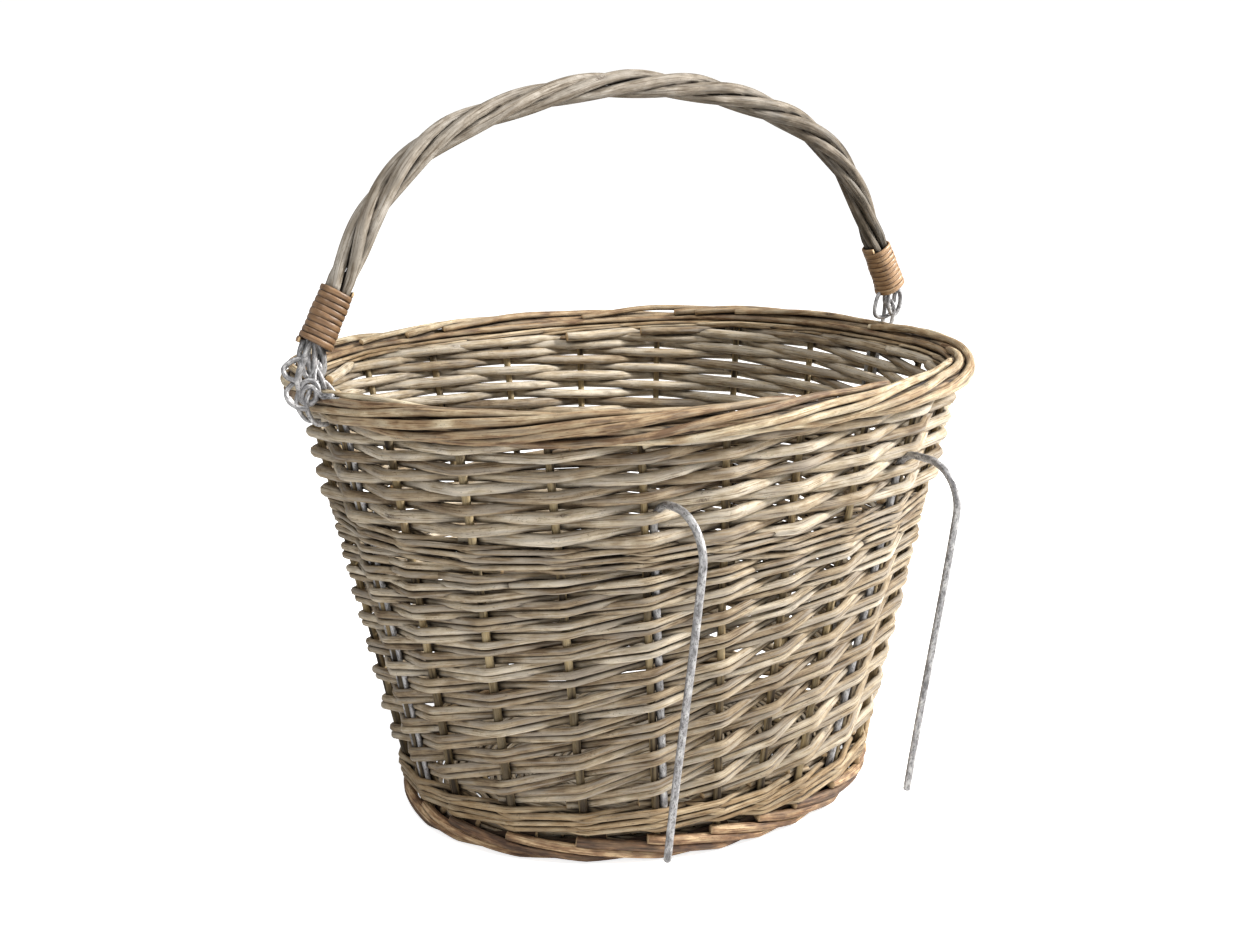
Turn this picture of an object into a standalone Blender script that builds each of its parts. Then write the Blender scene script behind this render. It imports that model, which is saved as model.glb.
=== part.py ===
"""Oval market basket of woven willow rods, with a swinging twisted handle and two wire hooks.

Metres, +Z up. The origin is on the floor under the centre of the overall footprint, the long
axis and the handle's hinge run along X, the hooks are on the -Y side and the front is +Y.
Going round the wall, places are counted in stakes: 0 is the stake under the handle's -X end,
4 and 8 carry the hooks, 12 is under the handle's +X end and 13 to 21 are on the front.
"""

import math

import bmesh
import bpy
import numpy as np
from mathutils import Vector

# Wall: two ovals that the straight, flared outer surface of the weave runs between.
FOOT_LEVEL = 0.0075
FOOT_HALF = (0.144, 0.116)
FOOT_POWER = 2.0
FOOT_Y = 0.003
TOP_LEVEL = 0.2325
TOP_HALF = (0.1865, 0.1515)
TOP_POWER = 2.4
TOP_Y = 0.009
WALL_THICK = 0.012
STAKE_INSET = WALL_THICK / 2

# Rim border: the rolled edge that stands proud of the wall.
RIM_HALF = (0.195, 0.160)
RIM_TOP = 0.250
RIM_WIDTH = 0.016

# Heights where one band of weaving ends and the next begins.
FOOT_TOP = 0.016
BOTTOM_WALE_TOP = 0.033
LOWER_WEAVE_TOP = 0.165
MIDDLE_WALE_TOP = 0.181
UPPER_WEAVE_TOP = 0.229
TOP_WALE_TOP = 0.235

# Stakes and base sticks.
BACK_GAPS = 12
FRONT_GAPS = 10
STAKE_COUNT = BACK_GAPS + FRONT_GAPS
STAKE_RADIUS = 0.0021
BASE_LOW = 0.003
BASE_HIGH = 0.014
STICK_RADIUS = 0.0019
STICK_PLAY = 0.00025
STICK_SETBACK = 0.003
SHORT_STICK_LEVEL = 0.0109
LONG_STICK_LEVEL = 0.00625
SHORT_STICKS = 7
SHORT_STICK_PITCH = 0.032
LONG_STICKS = 3
LONG_STICK_PITCH = 0.030

# Hooks: galvanised wire, one leg inside the wall and one hanging free behind it.
HOOK_STAKES = (4, 8)
HOOK_RADIUS = 0.0020
HOOK_BESIDE = 0.0046
HOOK_ARCH_TOPS = (0.2035, 0.2070)
HOOK_DRAWN_IN = (0.006, 0.0)
HOOK_SHOULDER = 0.014
HOOK_BEND = 0.022
HOOK_LEAN = math.radians(9.6)
HOOK_FREE_END = 0.0195
HOOK_INNER_END = 0.018
NOTCH_PLAY = 0.0010
NOTCH_DROP = 0.004

# Handle: four rods twisted together on an arch, bound with cane at both ends.
HANDLE_TOP = 0.3958
CROWN_RADIUS = 0.300
CROWN_ANGLE = math.radians(21)
SHOULDER_RADIUS = 0.110
LEG_ANGLE = math.radians(63)
LEG_LENGTH = 0.0607
ROD_COUNT = 4
ROD_RADIUS = 0.0030
ROD_ORBIT = 0.00448
ROD_TURNS = 3.0
ROD_SETBACK = 0.011
BINDING_LENGTH = 0.034
BINDING_BORE = 0.0078
BINDING_TOP_RADIUS = 0.0090
BINDING_FOOT_RADIUS = 0.0096

# Hinges: a wire eye under each binding, hooked through a wire eye on the rim.
PIN_LEVEL = 0.2600
PIN_X = 0.192
EYE_WIRE = 0.00135
EYE_HALF = 0.0040
EYE_PLAY = 0.0009
EYE_MOUTH = 0.010
EYE_TURN_IN = 0.005
EYE_CORNER = 0.0015
WIRE_FOOT = 0.018
WIRE_CORNER = 0.004
WIRE_BELOW_WALE_TOP = 0.001
WIRE_ABOVE_RIM = 0.002

GAP = 0.0003
WALL_STEPS = 3
SLOT_PLAY = 0.0004
STAKE_SLOT_OVERRUN = 0.004
RIM_SLOT_OVERRUN = 0.003
STICK_CHANNEL_OVERRUN = 0.03
FOOT_BORDER_EDGE = 0.004


def clear_scene():
    for item in list(bpy.data.objects):
        bpy.data.objects.remove(item, do_unlink=True)


def material(name, colour, roughness, metallic=0.0):
    made = bpy.data.materials.new(name)
    made.use_nodes = True
    shader = made.node_tree.nodes["Principled BSDF"]
    shader.inputs["Base Color"].default_value = (*colour, 1.0)
    shader.inputs["Roughness"].default_value = roughness
    shader.inputs["Metallic"].default_value = metallic
    return made


def mesh_object(name, mesh_data, finish=None):
    """Closes off a bmesh as an object with outward normals."""
    bmesh.ops.recalc_face_normals(mesh_data, faces=mesh_data.faces)
    mesh = bpy.data.meshes.new(name)
    mesh_data.to_mesh(mesh)
    mesh_data.free()
    made = bpy.data.objects.new(name, mesh)
    bpy.context.scene.collection.objects.link(made)
    if finish:
        mesh.materials.append(finish)
        mesh.shade_smooth()
        mesh.set_sharp_from_angle(angle=math.radians(35))
    return made


# ---------------------------------------------------------------- the oval wall


def oval(half, power, centre_y, angle):
    """A point on a squared oval, at a polar-like angle."""
    cos, sin = math.cos(angle), math.sin(angle)
    x = half[0] * math.copysign(abs(cos) ** (2 / power), cos)
    y = half[1] * math.copysign(abs(sin) ** (2 / power), sin)
    return Vector((x, centre_y + y))


def side_angles(start, end, gaps, fine=1200):
    """Angles that share one side of the top oval into gaps of equal length."""
    angles = np.linspace(start, end, fine + 1)
    points = np.array([oval(TOP_HALF, TOP_POWER, 0.0, a) for a in angles])
    steps = np.hypot(*np.diff(points, axis=0).T)
    walked = np.concatenate([[0.0], np.cumsum(steps)])
    marks = np.linspace(0.0, walked[-1], gaps * WALL_STEPS + 1)
    return list(np.interp(marks, walked, angles))


BACK_ANGLES = side_angles(math.pi, 2 * math.pi, BACK_GAPS)
FRONT_ANGLES = side_angles(2 * math.pi, 3 * math.pi, FRONT_GAPS)
STATION_ANGLES = BACK_ANGLES[:-1] + FRONT_ANGLES[:-1]


def angle_at(stake):
    """The oval's angle at a place counted in stakes, fractions allowed."""
    marks = np.arange(len(STATION_ANGLES) + 1) / WALL_STEPS
    return float(np.interp(stake % STAKE_COUNT, marks, STATION_ANGLES + [3 * math.pi]))


def wall_outline(angle, level):
    share = (level - FOOT_LEVEL) / (TOP_LEVEL - FOOT_LEVEL)
    low = oval(FOOT_HALF, FOOT_POWER, FOOT_Y, angle)
    high = oval(TOP_HALF, TOP_POWER, TOP_Y, angle)
    return low.lerp(high, share)


def rim_outline(angle, level):
    return oval(RIM_HALF, TOP_POWER, TOP_Y, angle)


def wall_frame(angle, level, inset=0.0, outline=wall_outline):
    """A point inset from an outline, with the level unit vectors along and out of it."""
    step = 1e-4
    ahead = outline(angle + step, level)
    behind = outline(angle - step, level)
    along = (ahead - behind).normalized()
    out = Vector((along.y, -along.x))
    place = outline(angle, level) - out * inset
    point = Vector((place.x, place.y, level))
    return point, Vector((along.x, along.y, 0.0)), Vector((out.x, out.y, 0.0))


def stake_point(stake, level):
    return wall_frame(angle_at(stake), level, STAKE_INSET)[0]


def ring(name, profile, finish, outline=wall_outline):
    """Carries a closed profile of (inset, height) corners once round an outline."""
    data = bmesh.new()
    rows = []
    for angle in STATION_ANGLES:
        corners = [wall_frame(angle, level, inset, outline)[0] for inset, level in profile]
        rows.append([data.verts.new(corner) for corner in corners])
    for row, following in zip(rows, rows[1:] + rows[:1]):
        for i in range(len(profile)):
            j = (i + 1) % len(profile)
            data.faces.new((row[i], following[i], following[j], row[j]))
    return mesh_object(name, data, finish)


def band(name, low, high, finish):
    """One band of weaving, a flared shell between two heights."""
    bottom = low + GAP / 2
    top = high - GAP / 2
    profile = [(0.0, bottom), (0.0, top), (WALL_THICK, top), (WALL_THICK, bottom)]
    return ring(name, profile, finish)


# ---------------------------------------------------------------- cutters


def add_box(data, corners_low, corners_high):
    low = [data.verts.new(corner) for corner in corners_low]
    high = [data.verts.new(corner) for corner in corners_high]
    data.faces.new(low)
    data.faces.new(high)
    for i in range(4):
        j = (i + 1) % 4
        data.faces.new((low[i], low[j], high[j], high[i]))


def cross_corners(centre, along, out, before, after, inward, outward):
    return [
        centre - along * before - out * inward,
        centre + along * after - out * inward,
        centre + along * after + out * outward,
        centre - along * before + out * outward,
    ]


def stake_slot(data, stake, low, high):
    """A channel along a stake, widened for any wire that runs beside it."""
    snug = STAKE_RADIUS + SLOT_PLAY
    before = after = snug
    if stake in (0, BACK_GAPS):
        before = after = EYE_HALF + EYE_WIRE + SLOT_PLAY
    if stake == HOOK_STAKES[0]:
        after = HOOK_BESIDE + HOOK_RADIUS + SLOT_PLAY
    if stake == HOOK_STAKES[1]:
        before = HOOK_BESIDE + HOOK_RADIUS + SLOT_PLAY
    ends = []
    for level in (low, high):
        centre, along, out = wall_frame(angle_at(stake), level, STAKE_INSET)
        ends.append(cross_corners(centre, along, out, before, after, snug, snug))
    add_box(data, *ends)


def cutter(name, data):
    made = mesh_object(name, data)
    made.hide_render = True
    made.display_type = "WIRE"
    return made


def stake_slots():
    data = bmesh.new()
    for stake in range(STAKE_COUNT):
        stake_slot(data, stake, FOOT_TOP - STAKE_SLOT_OVERRUN, TOP_WALE_TOP + STAKE_SLOT_OVERRUN)
    return cutter("stake_slots", data)


def hook_notches():
    """Openings that let the hooks out through the upper weave's outer face."""
    data = bmesh.new()
    along = Vector((1.0, 0.0, 0.0))
    back = Vector((0.0, -1.0, 0.0))
    side = HOOK_RADIUS + NOTCH_PLAY
    for stake, arch_top in zip(HOOK_STAKES, HOOK_ARCH_TOPS):
        turn = arch_top - HOOK_SHOULDER
        ends = []
        for level in (turn - NOTCH_DROP, arch_top + side):
            centre = hook_leg_point(stake, turn)
            centre.z = level
            ends.append(cross_corners(centre, along, back, side, side, side, 2 * WALL_THICK))
        add_box(data, *ends)
    return cutter("hook_notches", data)


def rim_slots():
    """Openings that let the rim eyes' wires up through the border."""
    data = bmesh.new()
    thick = EYE_WIRE + SLOT_PLAY
    wide = EYE_HALF + EYE_WIRE + SLOT_PLAY
    for side in (-1, 1):
        foot, head = rim_wire_slope(side)
        slope = (head - foot).normalized()
        across = Vector((slope.z, 0.0, -slope.x))
        along = Vector((0.0, 1.0, 0.0))
        low = foot - slope * RIM_SLOT_OVERRUN
        high = head + slope * RIM_SLOT_OVERRUN
        ends = [cross_corners(p, along, across, wide, wide, thick, thick) for p in (low, high)]
        add_box(data, *ends)
    return cutter("rim_slots", data)


def cut(target, tool):
    step = target.modifiers.new(tool.name, "BOOLEAN")
    step.operation = "DIFFERENCE"
    step.solver = "EXACT"
    step.object = tool


# ---------------------------------------------------------------- rods and wires


def round_corners(points, radius, steps=3):
    """Replaces each corner of a polyline by a short arc."""
    smooth = [points[0]]
    for before, corner, after in zip(points, points[1:], points[2:]):
        back = (before - corner).normalized()
        on = (after - corner).normalized()
        half = back.angle(on) / 2
        reach = radius / math.tan(half)
        middle = corner + (back + on).normalized() * (radius / math.sin(half))
        start = corner + back * reach - middle
        end = corner + on * reach - middle
        for i in range(steps + 1):
            smooth.append(middle + start.lerp(end, i / steps).normalized() * radius)
    smooth.append(points[-1])
    return smooth


def rod(name, points, radius, finish):
    """A round rod or wire along a path, six-sided, with closed ends."""
    data = bpy.data.curves.new(name, "CURVE")
    data.dimensions = "3D"
    data.bevel_depth = radius
    data.bevel_resolution = 1
    data.use_fill_caps = True
    data.resolution_u = 1
    data.render_resolution_u = 0
    spline = data.splines.new("POLY")
    spline.points.add(len(points) - 1)
    for point, place in zip(spline.points, points):
        point.co = (*place, 1.0)
    data.materials.append(finish)
    made = bpy.data.objects.new(name, data)
    bpy.context.scene.collection.objects.link(made)
    return made


def arc(centre, radius, start, end, steps, x=0.0):
    """Points of an arc in the upright plane at x, angles from +Y towards +Z."""
    points = []
    for angle in np.linspace(start, end, steps + 1):
        y = centre[0] + radius * math.cos(angle)
        z = centre[1] + radius * math.sin(angle)
        points.append(Vector((x, y, z)))
    return points


def make_stakes(finish):
    low = FOOT_TOP + GAP
    high = TOP_WALE_TOP - GAP
    for stake in range(STAKE_COUNT):
        ends = [stake_point(stake, low), stake_point(stake, high)]
        rod(f"stake_{stake + 1:02d}", ends, STAKE_RADIUS, finish)


def hook_leg_point(stake, level):
    """The hook's inner leg, beside its stake on the side nearer the middle."""
    point, along, _ = wall_frame(angle_at(stake), level, STAKE_INSET)
    side = 1 if stake == HOOK_STAKES[0] else -1
    return point + along * HOOK_BESIDE * side


def make_hooks(finish):
    for stake, word, arch_top, drawn_in in zip(HOOK_STAKES, ("left", "right"), HOOK_ARCH_TOPS, HOOK_DRAWN_IN):
        outermost = drawn_in - (TOP_Y + RIM_HALF[1] - HOOK_RADIUS)
        leg_top = arch_top - HOOK_SHOULDER
        leg = [hook_leg_point(stake, HOOK_INNER_END), hook_leg_point(stake, leg_top)]
        shoulder_centre = (leg[1].y - HOOK_SHOULDER, leg_top)
        x = leg[1].x
        shoulder = arc(shoulder_centre, HOOK_SHOULDER, 0.0, math.pi / 2, 4, x)
        bend_centre = (outermost + HOOK_BEND, arch_top - HOOK_BEND)
        bend = arc(bend_centre, HOOK_BEND, math.pi / 2, math.pi + HOOK_LEAN, 7, x)
        drop = bend[-1].z - HOOK_FREE_END
        free_end = bend[-1] + Vector((0.0, drop * math.tan(HOOK_LEAN), -drop))
        rod(f"hook_{word}", leg + shoulder[1:] + bend + [free_end], HOOK_RADIUS, finish)


# ---------------------------------------------------------------- base


def base_oval(inset, level):
    return [wall_frame(angle, level, inset)[0] for angle in STATION_ANGLES]


def make_base(weave_finish, stick_finish):
    data = bmesh.new()
    edge = WALL_THICK + 2 * GAP
    flat = base_oval(edge, BASE_LOW)
    low = [data.verts.new(point) for point in flat]
    high = [data.verts.new((point.x, point.y, BASE_HIGH)) for point in flat]
    data.faces.new(low)
    data.faces.new(high)
    for i in range(len(low)):
        j = (i + 1) % len(low)
        data.faces.new((low[i], low[j], high[j], high[i]))
    plate = mesh_object("base_weave", data, weave_finish)

    channels = bmesh.new()
    half_x = FOOT_HALF[0] - edge
    half_y = FOOT_HALF[1] - edge
    for i in range(SHORT_STICKS):
        x = (i - (SHORT_STICKS - 1) / 2) * SHORT_STICK_PITCH
        reach = half_y * math.sqrt(1 - (x / half_x) ** 2) - STICK_SETBACK
        ends = [Vector((x, FOOT_Y + s * reach, SHORT_STICK_LEVEL)) for s in (-1, 1)]
        rod(f"base_stick_short_{i + 1}", ends, STICK_RADIUS, stick_finish)
        stick_channel(channels, ends, Vector((1.0, 0.0, 0.0)))
    for i in range(LONG_STICKS):
        y = (i - (LONG_STICKS - 1) / 2) * LONG_STICK_PITCH
        reach = half_x * math.sqrt(1 - (y / half_y) ** 2) - STICK_SETBACK
        ends = [Vector((s * reach, FOOT_Y + y, LONG_STICK_LEVEL)) for s in (-1, 1)]
        rod(f"base_stick_long_{i + 1}", ends, STICK_RADIUS, stick_finish)
        stick_channel(channels, ends, Vector((0.0, 1.0, 0.0)))
    cut(plate, cutter("stick_channels", channels))


def stick_channel(data, ends, across):
    """A square channel for a base stick, open at both edges of the plate."""
    run = (ends[1] - ends[0]).normalized()
    up = Vector((0.0, 0.0, 1.0))
    half = STICK_RADIUS + STICK_PLAY
    low = ends[0] - run * STICK_CHANNEL_OVERRUN
    high = ends[1] + run * STICK_CHANNEL_OVERRUN
    boxes = [cross_corners(p, across, up, half, half, half, half) for p in (low, high)]
    add_box(data, *boxes)


# ---------------------------------------------------------------- handle


def handle_frame(walk):
    """Place, direction and outward normal on the handle's arch, walk metres from its crown."""
    side = math.copysign(1.0, walk)
    left = abs(walk)
    crown = CROWN_RADIUS * CROWN_ANGLE
    bend = SHOULDER_RADIUS * (LEG_ANGLE - CROWN_ANGLE)
    turn = min(left, crown) / CROWN_RADIUS
    x = CROWN_RADIUS * math.sin(turn)
    z = HANDLE_TOP - CROWN_RADIUS * (1 - math.cos(turn))
    if left > crown:
        turn = CROWN_ANGLE + min(left - crown, bend) / SHOULDER_RADIUS
        x += SHOULDER_RADIUS * (math.sin(turn) - math.sin(CROWN_ANGLE))
        z -= SHOULDER_RADIUS * (math.cos(CROWN_ANGLE) - math.cos(turn))
    if left > crown + bend:
        straight = left - crown - bend
        x += straight * math.cos(LEG_ANGLE)
        z -= straight * math.sin(LEG_ANGLE)
    place = Vector((side * x, TOP_Y, z))
    forward = Vector((math.cos(turn), 0.0, -side * math.sin(turn)))
    outward = Vector((side * math.sin(turn), 0.0, math.cos(turn)))
    return place, forward, outward


def handle_length():
    bend = SHOULDER_RADIUS * (LEG_ANGLE - CROWN_ANGLE)
    return CROWN_RADIUS * CROWN_ANGLE + bend + LEG_LENGTH


def make_handle_rods(finish, steps=44):
    reach = handle_length() - ROD_SETBACK
    for number in range(ROD_COUNT):
        points = []
        for walk in np.linspace(-reach, reach, steps + 1):
            place, _, outward = handle_frame(walk)
            turns = number / ROD_COUNT + ROD_TURNS * walk / (2 * reach)
            swing = 2 * math.pi * turns
            offset = outward * math.cos(swing) + Vector((0, 1, 0)) * math.sin(swing)
            points.append(place + offset * ROD_ORBIT)
        rod(f"handle_rod_{number + 1}", points, ROD_RADIUS, finish)


def make_binding(side, word, finish, sides=16):
    """A sleeve round one end of the twisted rods, a little wider at its foot."""
    foot, forward, outward = handle_frame(side * handle_length())
    head = foot - forward * side * BINDING_LENGTH
    rings = [
        (foot, BINDING_FOOT_RADIUS),
        (head, BINDING_TOP_RADIUS),
        (head, BINDING_BORE),
        (foot, BINDING_BORE),
    ]
    data = bmesh.new()
    loops = []
    for centre, radius in rings:
        loop = []
        for i in range(sides):
            angle = 2 * math.pi * (i + 0.5) / sides
            arm = outward * math.cos(angle) + Vector((0, 1, 0)) * math.sin(angle)
            loop.append(data.verts.new(centre + arm * radius))
        loops.append(loop)
    for loop, following in zip(loops, loops[1:] + loops[:1]):
        for i in range(sides):
            j = (i + 1) % sides
            data.faces.new((loop[i], loop[j], following[j], following[i]))
    mesh_object(f"handle_binding_{word}", data, finish)


# ---------------------------------------------------------------- hinge wires


def make_handle_eye(side, word, finish):
    """A wire stirrup under the binding. Its level bar is the hinge's pin."""
    rise = -handle_frame(side * handle_length())[1] * side * EYE_TURN_IN
    mouth = PIN_LEVEL + EYE_MOUTH
    inner = Vector((side * (PIN_X - EYE_HALF), TOP_Y, 0.0))
    outer = Vector((side * (PIN_X + EYE_HALF), TOP_Y, 0.0))
    up = Vector((0.0, 0.0, 1.0))
    corners = [
        inner + up * mouth + rise,
        inner + up * mouth,
        inner + up * PIN_LEVEL,
        outer + up * PIN_LEVEL,
        outer + up * mouth,
        outer + up * mouth + rise,
    ]
    rod(f"handle_eye_{word}", round_corners(corners, EYE_CORNER), EYE_WIRE, finish)


def rim_wire_slope(side):
    """Where the rim wires leave the wall's stake line, and where they stand up above the rim."""
    stake = 0 if side < 0 else BACK_GAPS
    foot = stake_point(stake, TOP_WALE_TOP - WIRE_BELOW_WALE_TOP)
    head = Vector((side * PIN_X, foot.y, RIM_TOP + WIRE_ABOVE_RIM))
    return foot, head


def make_rim_wire(side, word, finish):
    """One wire, up the wall on one side of a stake, over the pin, and down on the other side."""
    stake = 0 if side < 0 else BACK_GAPS
    foot, head = rim_wire_slope(side)
    low = stake_point(stake, WIRE_FOOT)
    beside = Vector((0.0, EYE_HALF, 0.0))
    top = PIN_LEVEL - EYE_PLAY
    climb = round_corners([low, foot, head, Vector((head.x, head.y, top))], WIRE_CORNER)
    crown = arc((head.y, top), EYE_HALF, math.pi, 0.0, 8, head.x)
    path = [p - beside for p in climb[:-1]] + crown + [p + beside for p in climb[-2::-1]]
    rod(f"rim_wire_{word}", path, EYE_WIRE, finish)


# ---------------------------------------------------------------- assembly


def make_bands(willow, brown):
    slots = stake_slots()
    bands = [
        band("bottom_wale", FOOT_TOP, BOTTOM_WALE_TOP, brown),
        band("lower_weave", BOTTOM_WALE_TOP, LOWER_WEAVE_TOP, willow),
        band("middle_wale", LOWER_WEAVE_TOP, MIDDLE_WALE_TOP, willow),
        band("upper_weave", MIDDLE_WALE_TOP, UPPER_WEAVE_TOP, willow),
        band("top_wale", UPPER_WEAVE_TOP, TOP_WALE_TOP, willow),
    ]
    for item in bands:
        cut(item, slots)
    cut(bands[3], hook_notches())


def make_foot_border(finish):
    """The plaited foot. It is flat underneath, where the basket stands."""
    high = FOOT_TOP - GAP / 2
    round_off = 0.0015
    profile = [
        (round_off, 0.0),
        (0.0, FOOT_BORDER_EDGE),
        (0.0, high - FOOT_BORDER_EDGE),
        (round_off, high),
        (WALL_THICK, high),
        (WALL_THICK, 0.0),
    ]
    ring("foot_border", profile, finish)


def make_rim_border(finish):
    low = TOP_WALE_TOP + GAP / 2
    corner = 0.0045
    profile = [
        (0.0, low + corner),
        (0.0, RIM_TOP - corner),
        (corner, RIM_TOP),
        (RIM_WIDTH - corner, RIM_TOP),
        (RIM_WIDTH, RIM_TOP - corner),
        (RIM_WIDTH, low + corner),
        (RIM_WIDTH - corner, low),
        (corner, low),
    ]
    border = ring("rim_border", profile, finish, rim_outline)
    cut(border, rim_slots())


def build():
    clear_scene()
    willow = material("washed_willow", (0.36, 0.29, 0.20), 0.65)
    brown = material("brown_willow", (0.33, 0.21, 0.11), 0.60)
    cane = material("honey_cane", (0.42, 0.25, 0.11), 0.50)
    wire = material("galvanised_wire", (0.42, 0.42, 0.42), 0.45, 0.9)
    make_bands(willow, brown)
    make_foot_border(brown)
    make_rim_border(brown)
    make_base(willow, brown)
    make_stakes(willow)
    make_hooks(wire)
    make_handle_rods(willow)
    for side, word in ((-1, "left"), (1, "right")):
        make_binding(side, word, cane)
        make_handle_eye(side, word, wire)
        make_rim_wire(side, word, wire)


build()
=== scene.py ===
"""Looks of the woven market basket: every rod, cane wrap and wire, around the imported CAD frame.

Metres, in the CAD's frame. Places round the wall are counted in stakes, as in the CAD: 0 is under
the handle's -X end, 4 and 8 carry the hooks, 12 is under the +X end. They grow to the right when
the basket is seen from outside.
"""

import math

import bpy
import numpy as np
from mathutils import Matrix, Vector
from mathutils.bvhtree import BVHTree


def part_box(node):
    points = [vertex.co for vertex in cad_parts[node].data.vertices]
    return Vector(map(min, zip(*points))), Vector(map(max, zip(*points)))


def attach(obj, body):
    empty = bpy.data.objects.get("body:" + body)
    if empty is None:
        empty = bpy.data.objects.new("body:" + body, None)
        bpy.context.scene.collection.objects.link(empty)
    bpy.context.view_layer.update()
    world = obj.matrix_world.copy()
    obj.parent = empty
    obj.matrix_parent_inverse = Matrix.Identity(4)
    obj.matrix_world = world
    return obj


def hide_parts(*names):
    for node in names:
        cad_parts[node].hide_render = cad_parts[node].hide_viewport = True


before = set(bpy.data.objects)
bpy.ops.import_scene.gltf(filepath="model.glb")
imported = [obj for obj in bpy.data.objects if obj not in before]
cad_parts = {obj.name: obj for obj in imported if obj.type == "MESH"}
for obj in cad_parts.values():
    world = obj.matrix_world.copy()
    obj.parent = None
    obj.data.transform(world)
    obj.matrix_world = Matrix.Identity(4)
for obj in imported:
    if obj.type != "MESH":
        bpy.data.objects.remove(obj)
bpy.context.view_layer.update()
rng = np.random.default_rng(11)

MM = 0.001
UP = np.array((0.0, 0.0, 1.0))

# ---------------------------------------------------------------- the wall the CAD gives

STAKES = [f"stake_{i:02d}" for i in range(1, 23)]
COUNT = len(STAKES)
STAKE_RADIUS = 0.0021
WALL_TOP = 0.2325
END_SLICE = 1.2 * MM
PIN_X = 0.192
TOP_Y = 0.009


def stake_ends(name):
    """Middle of the lower and of the upper end of a CAD stake."""
    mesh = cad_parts[name].data
    points = np.empty(len(mesh.vertices) * 3)
    mesh.vertices.foreach_get("co", points)
    points = points.reshape(-1, 3)
    level = points[:, 2]
    low = points[level < level.min() + END_SLICE].mean(axis=0)
    high = points[level > level.max() - END_SLICE].mean(axis=0)
    return low, high


LOW, HIGH = (np.array(ends) for ends in zip(*(stake_ends(name) for name in STAKES)))


def at_level(stake, level):
    """Points on the lines of the stakes with these numbers, at these levels."""
    low, high = LOW[stake % COUNT], HIGH[stake % COUNT]
    share = (level - low[:, 2]) / (high[:, 2] - low[:, 2])
    return low + (high - low) * share[:, None]


def unit(v):
    return v / np.maximum(np.linalg.norm(v, axis=-1, keepdims=True), 1e-12)


def between(a, b, c, d, t):
    """The smooth line through four points, at share t of the way from b to c."""
    return 0.5 * (2 * b + (c - a) * t + (2 * a - 5 * b + 4 * c - d) * t**2 + (3 * b - a - 3 * c + d) * t**3)


def wall(place, level, out=0.0):
    """Points on the surface through the stakes' lines, moved outwards by out. Place is counted in stakes."""
    place, level, out = np.broadcast_arrays(
        np.asarray(place, float), np.asarray(level, float), np.asarray(out, float)
    )
    stake = np.floor(place).astype(int)
    t = (place - stake)[:, None]
    a, b, c, d = (at_level(stake + k, level) for k in (-1, 0, 1, 2))
    point = between(a, b, c, d, t)
    along = 0.5 * ((c - a) + 2 * (2 * a - 5 * b + 4 * c - d) * t + 3 * (3 * b - a - 3 * c + d) * t**2)
    normal = unit(np.stack([along[:, 1], -along[:, 0], np.zeros(len(along))], axis=1))
    point[:, 2] = level
    return point + normal * out[:, None]


def spline(points, steps):
    """A smooth line through the points, with steps pieces from each to the next."""
    points = np.asarray(points, float)
    padded = np.vstack([2 * points[0] - points[1], points, 2 * points[-1] - points[-2]])
    t = (np.arange(steps) / steps)[:, None]
    out = []
    for a, b, c, d in zip(padded, padded[1:], padded[2:], padded[3:]):
        out.append(between(a, b, c, d, t))
    return np.vstack(out + [points[-1:]])


# Shares and lengths of the two waves that make up a drift.
WAVES = ((0.6, 1.0), (0.4, 0.43))


def wander(length, size, wave):
    """A slow random drift along a rod, up to size, in waves that are about wave long."""
    x = np.asarray(length, float)
    total = np.zeros(len(x))
    for share, stretch in WAVES:
        total += share * np.sin(2 * np.pi * x / (wave * stretch) + rng.uniform(0, 2 * np.pi))
    return total * size


# ---------------------------------------------------------------- rods

# A cut end's bevel: its length and how much it draws in, as shares of the radius.
LIP = 0.18
END_SHRINK = 0.12
# Powers that square off a strip's section, across and through it.
STRIP_CORNERS = (0.6, 0.8)
# The most that one rod's grain is moved along from the next one's, in metres.
GRAIN_SHIFT = 2.0
STEEP = 0.8


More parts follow.
